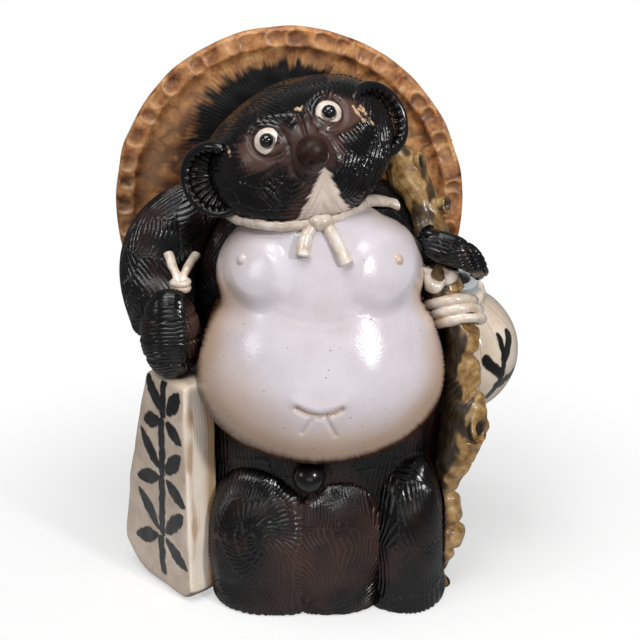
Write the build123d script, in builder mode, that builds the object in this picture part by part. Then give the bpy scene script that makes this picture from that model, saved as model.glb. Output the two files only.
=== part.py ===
from build123d import *
import os
from math import cos, radians, sin, sqrt

os.makedirs("parts", exist_ok=True)

# Lengths in mm. Z is up, the animal looks along -Y, the origin is the middle of its foot.
# Right and left are the animal's own: its right side is at -X.

# Clay
WALL = 9.0  # pressed wall of torso, belly and head
SLAB = 8.0  # slab that closes the foot
VENT = 12.0  # firing vent in the slab

# Torso: height, width and depth, then its rings as shares of those and a shift to the front
TORSO_HEIGHT = 292.0
TORSO_WIDTH = 200.0
TORSO_DEPTH = 168.0
TORSO_RINGS = (
    (0.00, 0.97, 0.98, 2.0),
    (0.14, 1.00, 1.00, 1.0),
    (0.33, 1.00, 1.00, 0.0),
    (0.52, 0.98, 0.95, 4.0),
    (0.70, 0.93, 0.78, 8.0),
    (0.84, 0.80, 0.58, 8.0),
    (0.94, 0.62, 0.44, 6.0),
    (1.00, 0.42, 0.32, 4.0),
)

# Belly and chest: width and how far the belly stands before the axis, then the rings:
# share of the torso height, share of the width, share of the reach
BELLY_WIDTH = 170.0
BELLY_REACH = 125.0
BELLY_ROUND = 0.80  # depth of a ring by its width
BELLY_RINGS = (
    (0.414, 0.31, 0.808),
    (0.438, 0.64, 0.904),
    (0.486, 0.88, 0.968),
    (0.568, 1.00, 1.000),
    (0.650, 0.965, 0.968),
    (0.726, 0.88, 0.896),
    (0.788, 0.835, 0.836),
    (0.850, 0.81, 0.784),
    (0.904, 0.68, 0.736),
    (0.945, 0.51, 0.688),
    (0.973, 0.31, 0.624),
)
NIPPLE = 10.0
NIPPLE_SPREAD = 98.0
NIPPLE_LEVEL = 0.875

# Head: it looks a little aside and up and is cocked over; rings run from the nape to the muzzle
HEAD_WIDTH = 128.0
HEAD_HEIGHT = 100.0
HEAD_LENGTH = 144.0
HEAD_CENTRE = (-14.0, -28.0, TORSO_HEIGHT + 26.0)
HEAD_ASIDE = 6.7
HEAD_UP = 12.4
HEAD_COCK = 23.0
HEAD_RINGS = (
    (-0.60, 0.72, 0.78, 0.0),
    (-0.40, 0.86, 0.89, 0.0),
    (-0.20, 0.95, 0.96, 0.0),
    (0.00, 1.00, 1.00, 0.0),
    (0.16, 0.955, 0.95, -3.0),
    (0.28, 0.82, 0.83, -6.0),
    (0.36, 0.60, 0.655, -8.5),
    (0.42, 0.38, 0.47, -8.0),
    (0.50, 0.26, 0.32, -4.5),
)
NOSE = 25.0
EYE = 17.5
EYE_SPREAD = 42.0
EYE_RAISE = 14.5
EYE_DOME = 4.5
PUPIL = 9.0
EAR = 50.0
EAR_SEATS = ((-60.0, 5.0, 20.0), (50.0, -3.0, 34.0))  # aside, up and forward in the head's directions
EAR_LIP = 7.0
EAR_DEEP = 15.0
EAR_TURN = 34.0

# Hat slung on the back
HAT_DIAMETER = 253.0
HAT_CENTRE = (-0.225, 0.357, 0.904)  # shares of the torso: half width, half depth, height
HAT_LEAN = 6.0
HAT_WALL = 8.0
HAT_BAND = 17.0  # flat rim
HAT_STEP = 3.5  # rim stands before the dish
HAT_DISH = 14.0
HAT_CROWN = 46.0
DENTS = 40  # finger dents round the rim
DENT_RADIUS = 15.0
DENT_DEPTH = 2.6

# Cord under the chin
CORD = 7.0
KNOT = 17.0

# Right arm with the account book
ARM = 60.0
FIST_WIDTH = 42.0
FIST_HEIGHT = 64.0
BOOK_TURN = 49.0  # cover against the front
BOOK_CORNER = (-0.91, -0.988, 0.0)  # shares of the torso
BOOK_HEIGHT = 0.575 * TORSO_HEIGHT
BOOK_FOOT = 86.0
BOOK_TOP = 46.0
BOOK_THICK = 27.0
BOOK_COVER = 2.6
PAGE_LINES = 5
PAGE_LINE = 1.2
STRING = 6.0

# Left arm with flask and staff
PAW = 27.0
FLASK = 94.0
FLASK_CENTRE = (0.97, 0.071, 0.555)  # shares of the torso
FLASK_NOD = 20.0  # its neck comes forward
FLASK_NECK = 28.0
FLASK_TALL = 66.0  # centre to lip
FLASK_WALL = 6.0
NECK_CORD = 8.0
LOOP = 27.0
STAFF = 26.0

# Foot
LOBES = ((-0.37, 88.0), (0.10, 80.0))  # place as share of the half width, and width
POUCH_DEPTH = 72.0
POUCH_HEIGHT = 106.0
KNOB = 23.0
LEG_WIDTH = 56.0
LEG_HEIGHT = 110.0
TAIL_WIDTH = 62.0
TAIL_HEIGHT = 122.0


def lofted(frame, rings):
    """Form lofted through ovals: offset, half width, half height, upward shift of each."""
    with BuildPart() as form:
        for offset, half_width, half_height, raised in rings:
            with BuildSketch(frame.offset(offset)):
                with BuildLine():
                    for turn in (0, 90, 180, 270):
                        EllipticalCenterArc((0, raised), half_width, half_height, turn, arc_size=90)
                make_face()
        loft()
    return form.part


def pebble(frame, half_width, half_depth, half_height, fullness=1.0):
    """Egg-shaped lump that stands along the frame's normal; below 1 it is fuller at its ends."""
    rings = []
    for angle in (-80, -60, -35, 0, 35, 60, 80):
        share = cos(radians(angle)) ** fullness
        rings.append((half_height * sin(radians(angle)), half_width * share, half_depth * share, 0))
    return lofted(frame, rings)


def limb(points, widths, side):
    """Round limb lofted through circles that stand square on the line of points."""
    with BuildPart() as form:
        for number, (point, width) in enumerate(zip(points, widths)):
            last = Vector(points[max(number - 1, 0)])
            following = Vector(points[min(number + 1, len(points) - 1)])
            with BuildSketch(Plane(origin=point, x_dir=side, z_dir=following - last)):
                with BuildLine():
                    for turn in (0, 90, 180, 270):
                        CenterArc((0, 0), width / 2, turn, arc_size=90)
                make_face()
        loft()
    return form.part


def axial(frame):
    """Plane through the frame's axis: x runs outward, y along the axis."""
    return Plane(origin=frame.origin, x_dir=frame.x_dir, z_dir=frame.x_dir.cross(frame.z_dir))


def ball(frame, diameter):
    """Ball with its middle in the frame's origin."""
    with BuildPart(frame) as form:
        Sphere(diameter / 2)
    return form.part


def met(forms, start, heading):
    """First place where a line from the start meets the forms, as a plane that faces outward."""
    line = Axis(start, heading)
    places = []
    for form in forms:
        for face in form.faces():
            for point, normal in face.find_intersection_points(line):
                places.append(((point - Vector(start)).length, point, normal))
    point, normal = min(places, key=lambda place: place[0])[1:]
    if normal.dot(Vector(heading)) > 0:
        normal = normal * -1
    return Plane(origin=point, z_dir=normal)


def before(forms, x, z):
    """The forms' front at this x and z."""
    return met(forms, (x, -3 * TORSO_DEPTH, z), (0, 1, 0))


def turned(origin, aside, up, cock):
    """Frame that looks to the front, turned aside (to the left hand), up and cocked by degrees."""
    forward = Vector(
        sin(radians(aside)) * cos(radians(up)), -cos(radians(aside)) * cos(radians(up)), sin(radians(up))
    )
    level = Vector(cos(radians(aside)), sin(radians(aside)), 0)
    across = level * cos(radians(cock)) + forward.cross(level) * sin(radians(cock))
    return Plane(origin=origin, x_dir=across, z_dir=forward)


def spot(across, back, up):
    """Place given in shares of the torso's half width, half depth and height."""
    return (across * TORSO_WIDTH / 2, back * TORSO_DEPTH / 2, up * TORSO_HEIGHT)


def spots(*shares):
    """Several such places."""
    return [spot(*share) for share in shares]


facing = turned((0, 0, 0), 0, 0, 0)

# Torso
torso_rings = []
hollow_rings = []
for height, wide, deep, shift in TORSO_RINGS:
    half_width = wide * TORSO_WIDTH / 2
    half_depth = deep * TORSO_DEPTH / 2
    level = height * TORSO_HEIGHT
    torso_rings.append((level, half_width, half_depth, -shift))
    hollow_level = min(level, TORSO_HEIGHT - WALL)
    hollow_rings.append((hollow_level, half_width - WALL, half_depth - WALL, -shift))
torso = lofted(Plane.XY, torso_rings)
torso_hollow = lofted(Plane.XY, hollow_rings)

# Belly
belly_rings = []
paunch_rings = []
for height, wide, reach in BELLY_RINGS:
    half_width = wide * BELLY_WIDTH / 2
    front = reach * BELLY_REACH
    level = height * TORSO_HEIGHT
    belly_rings.append((level, half_width, half_width * BELLY_ROUND, half_width * BELLY_ROUND - front))
    if half_width > 3 * WALL:
        inner = half_width - WALL
        paunch_rings.append((level, inner, inner * BELLY_ROUND, inner * BELLY_ROUND - front + WALL))
belly_form = lofted(Plane.XY, belly_rings)
belly_hollow = lofted(Plane.XY, paunch_rings)

# Head
head_frame = turned(HEAD_CENTRE, HEAD_ASIDE, HEAD_UP, HEAD_COCK)
head_rings = []
skull_rings = []
for place, wide, high, raised in HEAD_RINGS:
    half_width = wide * HEAD_WIDTH / 2
    half_height = high * HEAD_HEIGHT / 2
    head_rings.append((place * HEAD_LENGTH, half_width, half_height, raised))
    if half_height > 3 * WALL:
        skull_rings.append((place * HEAD_LENGTH, half_width - WALL, half_height - WALL, raised))
head_form = lofted(head_frame, head_rings)
head_hollow = lofted(head_frame, skull_rings)

# Hat: the underside with its rim, the crown's shell behind it, and both filled
hat_frame = turned(spot(*HAT_CENTRE), 0, HAT_LEAN, 0)
hat_axis = Axis(hat_frame.origin, hat_frame.z_dir)
hat_radius = HAT_DIAMETER / 2
band_inside = hat_radius - HAT_BAND
dish_edge = (band_inside, -HAT_STEP)
dish_middle = (0, -HAT_DISH)
seam_inside = (band_inside, -HAT_STEP - HAT_WALL)
seam_outside = (hat_radius, -HAT_WALL)
crown_tip = (0, -HAT_WALL - HAT_CROWN)


def hat_face():
    """The hat's face from the middle of the dish to the outer edge, drawn as open line."""
    dish = ThreePointArc(dish_middle, (0.55 * band_inside, -0.78 * HAT_DISH), dish_edge)
    step = Line(dish @ 1, (band_inside + 2, 0))
    band = Line(step @ 1, (hat_radius - HAT_WALL / 2, 0))
    edge = RadiusArc(band @ 1, (hat_radius, -HAT_WALL / 2), HAT_WALL / 2)
    Line(edge @ 1, seam_outside)


def crown_line(tip, edge):
    """The crown's side from its tip to an edge."""
    ThreePointArc(tip, (0.5 * edge[0], 0.42 * edge[1] + 0.58 * tip[1]), edge)


with BuildPart() as hat_filled:
    with BuildSketch(axial(hat_frame)):
        with BuildLine():
            hat_face()
            crown_line(crown_tip, seam_outside)
            Line(crown_tip, dish_middle)
        make_face()
    revolve(axis=hat_axis)

# Arms
right_arm_form = limb(
    spots(
        (-0.7, 0.095, 0.942),
        (-0.93, 0.048, 0.897),
        (-1.09, -0.036, 0.815),
        (-1.11, -0.19, 0.733),
        (-1.06, -0.452, 0.682),
    ),
    [ARM * share for share in (0.60, 0.83, 1.00, 0.93, 0.80)],
    (0, 1, 0),
)
fist_frame = Plane(origin=spot(-1.01, -0.69, 0.675), x_dir=(1, 0, 0), z_dir=(0, 0, 1))
fist_form = pebble(fist_frame, FIST_WIDTH / 2, 0.46 * FIST_WIDTH, FIST_HEIGHT / 2)
left_arm_form = limb(
    spots(
        (0.68, -0.5, 0.884),
        (0.79, -0.607, 0.873),
        (0.92, -0.643, 0.86),
        (1.04, -0.583, 0.825),
        (1.08, -0.488, 0.777),
        (1.06, -0.417, 0.743),
    ),
    [PAW * share for share in (0.89, 1.00, 0.96, 0.81, 0.67, 0.41)],
    (0, 1, 0),
)

# Staff
staff_form = limb(
    spots(
        (0.86, -0.595, 0),
        (0.88, -0.595, 0.103),
        (0.88, -0.607, 0.223),
        (0.92, -0.607, 0.325),
        (1, -0.607, 0.432),
        (1, -0.607, 0.514),
        (0.975, -0.583, 0.616),
        (0.94, -0.536, 0.702),
        (0.8, -0.405, 0.795),
        (0.76, -0.286, 0.856),
        (0.72, -0.167, 0.911),
        (0.62, -0.024, 0.986),
        (0.5, 0.095, 1.051),
    ),
    [STAFF * share for share in (0.9, 1.0, 0.98, 1.0, 1.3, 1.0, 0.95, 1.05, 1.0, 1.0, 1.05, 1.0, 0.75)],
    (1, 0, 0),
)
stub_forms = []
for root, tip, width in (
    (spot(1, -0.619, 0.418), spot(1.11, -0.762, 0.445), 0.77 * STAFF),
    (spot(0.7, -0.143, 0.932), spot(0.88, -0.238, 0.949), 0.62 * STAFF),
    (spot(0.56, 0.024, 1.017), spot(0.7, -0.048, 1.038), 0.50 * STAFF),
):
    middle = (Vector(root) + Vector(tip)) * 0.5
    stub_forms.append(limb((root, tuple(middle), tip), (width, 0.9 * width, width), (0, 0, 1)))

# Flask
flask_frame = turned(spot(*FLASK_CENTRE), 0, 90 - FLASK_NOD, 0)
flask_axis = Axis(flask_frame.origin, flask_frame.z_dir)
flask_radius = FLASK / 2
neck_radius = FLASK_NECK / 2


def flask_side(inset):
    """The flask's side from its foot to the lip, moved in by the inset."""
    radius = flask_radius - inset
    foot = (0.5 * radius, -0.866 * radius)
    neck = neck_radius - inset
    round_part = ThreePointArc(foot, (radius, 0), (0.66 * radius, 0.751 * radius))
    throat = TangentArc(round_part @ 1, (neck, flask_radius + 4), tangent=round_part % 1)
    Line(throat @ 1, (neck, FLASK_TALL))
    Line((neck, FLASK_TALL), (0, FLASK_TALL))
    Line((0, FLASK_TALL), (0, foot[1]))
    Line((0, foot[1]), foot)


with BuildPart() as flask_filled:
    with BuildSketch(axial(flask_frame)):
        with BuildLine():
            flask_side(0)
        make_face()
    revolve(axis=flask_axis)

# Account book: the cover's outline stands on its own plane, the pages show at its front edge
book_face = Vector(-sin(radians(BOOK_TURN)), -cos(radians(BOOK_TURN)), 0)
book_run = Vector(cos(radians(BOOK_TURN)), -sin(radians(BOOK_TURN)), 0)
book_frame = Plane(origin=spot(*BOOK_CORNER), x_dir=book_run, z_dir=book_face)
page_frame = Plane(origin=spot(*BOOK_CORNER), x_dir=book_face * -1, z_dir=book_run)
with BuildPart() as book_block:
    with BuildSketch(book_frame):
        with BuildLine():
            foot = Line((0, 0), (0.55 * -BOOK_FOOT, 0))
            heel = TangentArc(foot @ 1, (-BOOK_FOOT, 0.26 * BOOK_FOOT), tangent=(-1, 0))
            Spline(heel @ 1, (-0.80 * BOOK_FOOT, 0.6 * BOOK_HEIGHT), (-BOOK_TOP, BOOK_HEIGHT))
            Line((-BOOK_TOP, BOOK_HEIGHT), (0, BOOK_HEIGHT))
            Line((0, BOOK_HEIGHT), (0, 0))
        make_face()
    extrude(amount=-BOOK_THICK)

# Foot: two round lobes of the pouch, and the left leg beside them
lobe_forms = []
for place, width in LOBES:
    lobe_frame = Plane(origin=(place * TORSO_WIDTH / 2, -0.74 * TORSO_DEPTH / 2, 0.42 * POUCH_HEIGHT))
    lobe_forms.append(pebble(lobe_frame, width / 2, POUCH_DEPTH / 2, 0.60 * POUCH_HEIGHT, 0.8))
leg_frame = Plane(origin=(0.62 * TORSO_WIDTH / 2, -0.58 * TORSO_DEPTH / 2, 0.36 * LEG_HEIGHT))
leg_form = pebble(leg_frame, LEG_WIDTH / 2, 0.80 * LEG_WIDTH, 0.64 * LEG_HEIGHT, 0.7)
tail_frame = Plane(origin=(16, 0.90 * TORSO_DEPTH / 2, 0.48 * TAIL_HEIGHT))
tail_form = pebble(tail_frame, TAIL_WIDTH / 2, 0.46 * TAIL_WIDTH, 0.52 * TAIL_HEIGHT)


def on_head(aside, raised, forward):
    """Frame at a place given in the head's own directions."""
    place = head_frame.from_local_coords((aside, raised, forward))
    return Plane(origin=place, x_dir=head_frame.x_dir, z_dir=head_frame.z_dir)


# Face: nose, eyes and ears before their seats are cut
nose_form = ball(on_head(0, -2, 0.515 * HEAD_LENGTH), NOSE)
eye_forms = []
pupil_forms = []
ear_forms = []
for side, ear_place in zip((-1, 1), EAR_SEATS):
    sight = on_head(side * EYE_SPREAD / 2, EYE_RAISE, HEAD_LENGTH)
    seat = met([head_form], sight.origin, head_frame.z_dir * -1)
    eye_frame = Plane(origin=seat.origin, z_dir=seat.z_dir * 2 + head_frame.z_dir)
    with BuildPart() as eye_form:
        with BuildSketch(axial(eye_frame)):
            with BuildLine():
                Line((0, -EYE / 2), (EYE / 2, -EYE / 2))
                Line((EYE / 2, -EYE / 2), (EYE / 2, 0))
                RadiusArc((EYE / 2, 0), (0, EYE_DOME), -1.4 * EYE)
                Line((0, EYE_DOME), (0, -EYE / 2))
            make_face()
        revolve(axis=Axis(eye_frame.origin, eye_frame.z_dir))
    eye_forms.append(eye_form.part)
    pupil_forms.append(ball(eye_frame.offset(EYE_DOME - 0.3 * PUPIL), PUPIL))
    ear_seat = head_frame.from_local_coords(ear_place)
    outward = head_frame.x_dir * side
    ear_look = head_frame.z_dir * cos(radians(EAR_TURN)) + outward * sin(radians(EAR_TURN))
    ear_frame = Plane(origin=ear_seat, x_dir=head_frame.y_dir, z_dir=ear_look)
    ear_rim = EAR / 2
    ear_inside = ear_rim - EAR_LIP
    with BuildPart() as ear_form:
        with BuildSketch(axial(ear_frame)):
            with BuildLine():
                ThreePointArc((0, -EAR_DEEP), (0.72 * ear_rim, -0.68 * EAR_DEEP), (ear_rim, 0))
                ThreePointArc((ear_rim, 0), (ear_rim - EAR_LIP / 2, EAR_LIP / 2), (ear_inside, 0))
                ThreePointArc(
                    (ear_inside, 0), (0.7 * ear_inside, -0.35 * EAR_DEEP), (0, EAR_LIP * 1.3 - EAR_DEEP)
                )
                Line((0, EAR_LIP * 1.3 - EAR_DEEP), (0, -EAR_DEEP))
            make_face()
        revolve(axis=Axis(ear_frame.origin, ear_frame.z_dir))
    ear_forms.append(ear_form.part)

# Cords: their lines lie on whatever stands behind them
chest = [torso, belly_form, head_form, right_arm_form]


def laid(forms, places, lift):
    """Points on the forms' front at these x and z, lifted off a little."""
    points = []
    for x, z in places:
        seat = before(forms, x, z).origin
        points.append((seat.X, seat.Y - lift, seat.Z))
    return points


CORD_LEVEL = 0.970 * TORSO_HEIGHT
cord_right_form = limb(
    laid(
        chest,
        (
            (-2, CORD_LEVEL),
            (-24, CORD_LEVEL - 3),
            (-44, CORD_LEVEL - 4),
            (-57, CORD_LEVEL - 4),
            (-65, CORD_LEVEL - 2),
        ),
        0.25 * CORD,
    ),
    [CORD * share for share in (1.0, 1.0, 1.0, 1.15, 1.3)],
    (0, 0, 1),
)
cord_left_form = limb(
    laid(
        chest,
        ((2, CORD_LEVEL), (20, CORD_LEVEL + 2), (38, CORD_LEVEL + 2), (50, CORD_LEVEL)),
        0.25 * CORD,
    ),
    [CORD * share for share in (1.0, 1.0, 1.0, 1.1)],
    (0, 0, 1),
)
knot_seat = before(chest, 0, CORD_LEVEL).origin
knot_frame = Plane(origin=(0, knot_seat.Y - 0.3 * CORD, CORD_LEVEL), x_dir=(0, -1, 0), z_dir=(1, 0, 0))
knot_form = pebble(knot_frame, 0.40 * KNOT, 0.34 * KNOT, 0.5 * KNOT)
tail_forms = []
for places in (
    ((-5, CORD_LEVEL - 3), (-10, CORD_LEVEL - 11), (-11, CORD_LEVEL - 20)),
    ((5, CORD_LEVEL - 3), (11, CORD_LEVEL - 13), (17, CORD_LEVEL - 25)),
):
    tail_forms.append(limb(laid([belly_form], places, 0.2 * CORD), (CORD, CORD, 1.2 * CORD), (1, 0, 0)))

# Strings that tie the book: they rise from the top of the fist and lean back on the arm
string_forms = []
for path in (
    ((3, 6, 0.0), (2, 14, 9.0), (-2, 23, 20.0)),
    ((10.5, 6, -1.5), (11, 18, 8.0), (16, 33, 16.0)),
):
    points = []
    for aside, back, up in path:
        points.append(
            tuple(fist_frame.origin + Vector(aside, back, 0.47 * FIST_HEIGHT + up))
        )
    string_forms.append(limb(points, (STRING, STRING, STRING), (1, 0, 0)))

# Cord round the flask's neck, and its loop over the staff
with BuildPart(flask_frame.offset(0.80 * FLASK_TALL)) as neck_ring:
    Torus(neck_radius + 0.2 * NECK_CORD, NECK_CORD / 2)
loop_frame = Plane(origin=spot(0.79, -0.56, 0.812), x_dir=(1, 0, 0), z_dir=(0.2, -1, 0.1))
with BuildPart(loop_frame) as loop_ring:
    Torus((LOOP - NECK_CORD) / 2, NECK_CORD / 2)

# Pieces

with BuildPart() as body_front:
    add(torso)
    add(torso_hollow, mode=Mode.SUBTRACT)
    add(belly_hollow, mode=Mode.SUBTRACT)
    split(bisect_by=facing, keep=Keep.TOP)
body_front.part.label = "body_front"
export_step(body_front.part, "parts/body_front.step")

with BuildPart() as body_back:
    add(torso)
    add(torso_hollow, mode=Mode.SUBTRACT)
    split(bisect_by=facing, keep=Keep.BOTTOM)
body_back.part.label = "body_back"
export_step(body_back.part, "parts/body_back.step")

with BuildPart() as base_slab:
    add(torso_hollow)
    split(bisect_by=Plane.XY.offset(SLAB), keep=Keep.BOTTOM)
    with Locations((0, 0.45 * TORSO_DEPTH / 2, SLAB / 2)):
        Cylinder(VENT / 2, SLAB, mode=Mode.SUBTRACT)
base_slab.part.label = "base_slab"
export_step(base_slab.part, "parts/base_slab.step")

with BuildPart() as belly:
    add(belly_form)
    add(belly_hollow, mode=Mode.SUBTRACT)
    add(torso, mode=Mode.SUBTRACT)
belly.part.label = "belly"
export_step(belly.part, "parts/belly.step")

with BuildPart() as nipples:
    for side in (-1, 1):
        add(ball(before([belly_form], side * NIPPLE_SPREAD / 2, NIPPLE_LEVEL * TORSO_HEIGHT), NIPPLE))
    add(belly_form, mode=Mode.SUBTRACT)
nipples.part.label = "nipples"
export_step(nipples.part, "parts/nipples.step")

with BuildPart() as head:
    add(head_form)
    add(head_hollow, mode=Mode.SUBTRACT)
    add(hat_filled.part, mode=Mode.SUBTRACT)
    add(torso, mode=Mode.SUBTRACT)
    add(belly_form, mode=Mode.SUBTRACT)
head.part.label = "head"
export_step(head.part, "parts/head.step")

with BuildPart() as nose:
    add(nose_form)
    add(head_form, mode=Mode.SUBTRACT)
nose.part.label = "nose"
export_step(nose.part, "parts/nose.step")

for number, name in enumerate(("right", "left")):
    with BuildPart() as eye_white:
        add(eye_forms[number])
        add(head_form, mode=Mode.SUBTRACT)
        add(pupil_forms[number], mode=Mode.SUBTRACT)
    eye_white.part.label = name + "_eye_white"
    export_step(eye_white.part, "parts/" + name + "_eye_white.step")

    with BuildPart() as pupil:
        add(pupil_forms[number])
        add(head_form, mode=Mode.SUBTRACT)
    pupil.part.label = name + "_pupil"
    export_step(pupil.part, "parts/" + name + "_pupil.step")

    with BuildPart() as ear:
        add(ear_forms[number])
        add(head_form, mode=Mode.SUBTRACT)
        add(hat_filled.part, mode=Mode.SUBTRACT)
        add(right_arm_form, mode=Mode.SUBTRACT)
    ear.part.label = name + "_ear"
    export_step(ear.part, "parts/" + name + "_ear.step")

with BuildPart() as hat_underside:
    with BuildSketch(axial(hat_frame)):
        with BuildLine():
            hat_face()
            Line(seam_outside, seam_inside)
            ThreePointArc(
                seam_inside, (0.55 * band_inside, -0.78 * HAT_DISH - HAT_WALL), (0, -HAT_DISH - HAT_WALL)
            )
            Line((0, -HAT_DISH - HAT_WALL), dish_middle)
        make_face()
    revolve(axis=hat_axis)
    with Locations(hat_frame.offset(DENT_RADIUS - DENT_DEPTH)):
        with PolarLocations(hat_radius - HAT_BAND / 2.6, DENTS):
            Sphere(DENT_RADIUS, mode=Mode.SUBTRACT)
    add(torso, mode=Mode.SUBTRACT)
hat_underside.part.label = "hat_underside"
export_step(hat_underside.part, "parts/hat_underside.step")

with BuildPart() as hat_crown:
    with BuildSketch(axial(hat_frame)):
        with BuildLine():
            crown_line(crown_tip, seam_outside)
            Line(seam_outside, seam_inside)
            crown_line((0, crown_tip[1] + HAT_WALL), seam_inside)
            Line((0, crown_tip[1] + HAT_WALL), crown_tip)
        make_face()
    revolve(axis=hat_axis)
    add(torso, mode=Mode.SUBTRACT)
hat_crown.part.label = "hat_crown"
export_step(hat_crown.part, "parts/hat_crown.step")

with BuildPart() as right_arm:
    add(right_arm_form)
    for other in (torso, belly_form, head_form, hat_filled.part, fist_form):
        add(other, mode=Mode.SUBTRACT)
right_arm.part.label = "right_arm"
export_step(right_arm.part, "parts/right_arm.step")

with BuildPart() as right_fist:
    add(fist_form)
    for level in (-0.24, 0.0, 0.24):
        with Locations(fist_frame.offset(level * FIST_HEIGHT)):
            Torus(FIST_WIDTH / 2 * sqrt(1 - 4 * level**2), 2.0, mode=Mode.SUBTRACT)
    add(belly_form, mode=Mode.SUBTRACT)
    add(torso, mode=Mode.SUBTRACT)
right_fist.part.label = "right_fist"
export_step(right_fist.part, "parts/right_fist.step")

with BuildPart() as book_string:
    for form in string_forms:
        add(form)
    add(right_arm_form, mode=Mode.SUBTRACT)
    add(fist_form, mode=Mode.SUBTRACT)
book_string.part.label = "book_string"
export_step(book_string.part, "parts/book_string.step")

with BuildPart() as account_book:
    add(book_block.part)
    with BuildSketch(book_frame):
        with BuildLine():
            Polyline((0, 0), (0, 9), (-10, 0), close=True)
        make_face()
    extrude(amount=-BOOK_THICK, mode=Mode.SUBTRACT)
    with BuildSketch(page_frame):
        with Locations((BOOK_THICK / 2, BOOK_HEIGHT / 2)):
            Rectangle(BOOK_THICK - 2 * BOOK_COVER, BOOK_HEIGHT)
    extrude(amount=-1.5, mode=Mode.SUBTRACT)
    with BuildSketch(page_frame):
        with Locations((BOOK_THICK / 2, BOOK_HEIGHT / 2)):
            with GridLocations((BOOK_THICK - 2 * BOOK_COVER) / (PAGE_LINES + 1), 0, PAGE_LINES, 1):
                Rectangle(PAGE_LINE, BOOK_HEIGHT)
    extrude(amount=-2.7, mode=Mode.SUBTRACT)
    for other in (torso, right_arm_form, fist_form):
        add(other, mode=Mode.SUBTRACT)
account_book.part.label = "account_book"
export_step(account_book.part, "parts/account_book.step")

with BuildPart() as flask:
    add(flask_filled.part)
    with BuildSketch(axial(flask_frame)):
        with BuildLine():
            flask_side(FLASK_WALL)
        make_face()
    revolve(axis=flask_axis, mode=Mode.SUBTRACT)
    add(torso, mode=Mode.SUBTRACT)
flask.part.label = "flask"
export_step(flask.part, "parts/flask.step")

with BuildPart() as flask_cord:
    add(neck_ring.part)
    add(flask_filled.part, mode=Mode.SUBTRACT)
    add(torso, mode=Mode.SUBTRACT)
    add(staff_form, mode=Mode.SUBTRACT)
flask_cord.part.label = "flask_cord"
export_step(flask_cord.part, "parts/flask_cord.step")

with BuildPart() as left_arm:
    add(left_arm_form)
    for other in (torso, belly_form, staff_form, stub_forms[1]):
        add(other, mode=Mode.SUBTRACT)
left_arm.part.label = "left_arm"
export_step(left_arm.part, "parts/left_arm.step")

with BuildPart() as staff:
    add(staff_form)
    for form in stub_forms:
        add(form)
    for other in (torso, belly_form, head_form, hat_filled.part, flask_filled.part, leg_form):
        add(other, mode=Mode.SUBTRACT)
    split(bisect_by=Plane.XY, keep=Keep.TOP)
staff.part.label = "staff"
export_step(staff.part, "parts/staff.step")

with BuildPart() as flask_loop:
    add(loop_ring.part)
    for other in (staff_form, left_arm_form, flask_filled.part, neck_ring.part, belly_form):
        add(other, mode=Mode.SUBTRACT)
flask_loop.part.label = "flask_loop"
export_step(flask_loop.part, "parts/flask_loop.step")

with BuildPart() as pouch:
    for form in lobe_forms:
        add(form)
    for other in (torso, belly_form, book_block.part):
        add(other, mode=Mode.SUBTRACT)
    split(bisect_by=Plane.XY, keep=Keep.TOP)
pouch.part.label = "pouch"
export_step(pouch.part, "parts/pouch.step")

with BuildPart() as left_leg:
    add(leg_form)
    for other in (torso, belly_form, lobe_forms[1]):
        add(other, mode=Mode.SUBTRACT)
    split(bisect_by=Plane.XY, keep=Keep.TOP)
left_leg.part.label = "left_leg"
export_step(left_leg.part, "parts/left_leg.step")

with BuildPart() as pouch_knob:
    add(ball(before([*lobe_forms, torso], -7, POUCH_HEIGHT).offset(0.25 * KNOB), KNOB))
    for other in (*lobe_forms, torso, belly_form):
        add(other, mode=Mode.SUBTRACT)
pouch_knob.part.label = "pouch_knob"
export_step(pouch_knob.part, "parts/pouch_knob.step")

with BuildPart() as tail:
    add(tail_form)
    add(torso, mode=Mode.SUBTRACT)
    split(bisect_by=Plane.XY, keep=Keep.TOP)
tail.part.label = "tail"
export_step(tail.part, "parts/tail.step")

with BuildPart() as bow_knot:
    add(knot_form)
    add(belly_form, mode=Mode.SUBTRACT)
    add(head_form, mode=Mode.SUBTRACT)
bow_knot.part.label = "bow_knot"
export_step(bow_knot.part, "parts/bow_knot.step")

for number, name in enumerate(("right", "left")):
    with BuildPart() as chin_cord:
        add((cord_right_form, cord_left_form)[number])
        for other in (torso, belly_form, head_form, right_arm_form, knot_form, ear_forms[number]):
            add(other, mode=Mode.SUBTRACT)
        for other in (staff_form, left_arm_form):
            add(other, mode=Mode.SUBTRACT)
    chin_cord.part.label = "chin_cord_" + name
    export_step(chin_cord.part, "parts/chin_cord_" + name + ".step")

    with BuildPart() as bow_tail:
        add(tail_forms[number])
        for other in (belly_form, knot_form, (cord_right_form, cord_left_form)[number]):
            add(other, mode=Mode.SUBTRACT)
    bow_tail.part.label = "bow_tail_" + name
    export_step(bow_tail.part, "parts/bow_tail_" + name + ".step")
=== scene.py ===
import bpy
from math import cos, pi, radians, sin
import numpy as np
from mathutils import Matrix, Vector
from mathutils.bvhtree import BVHTree


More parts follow.
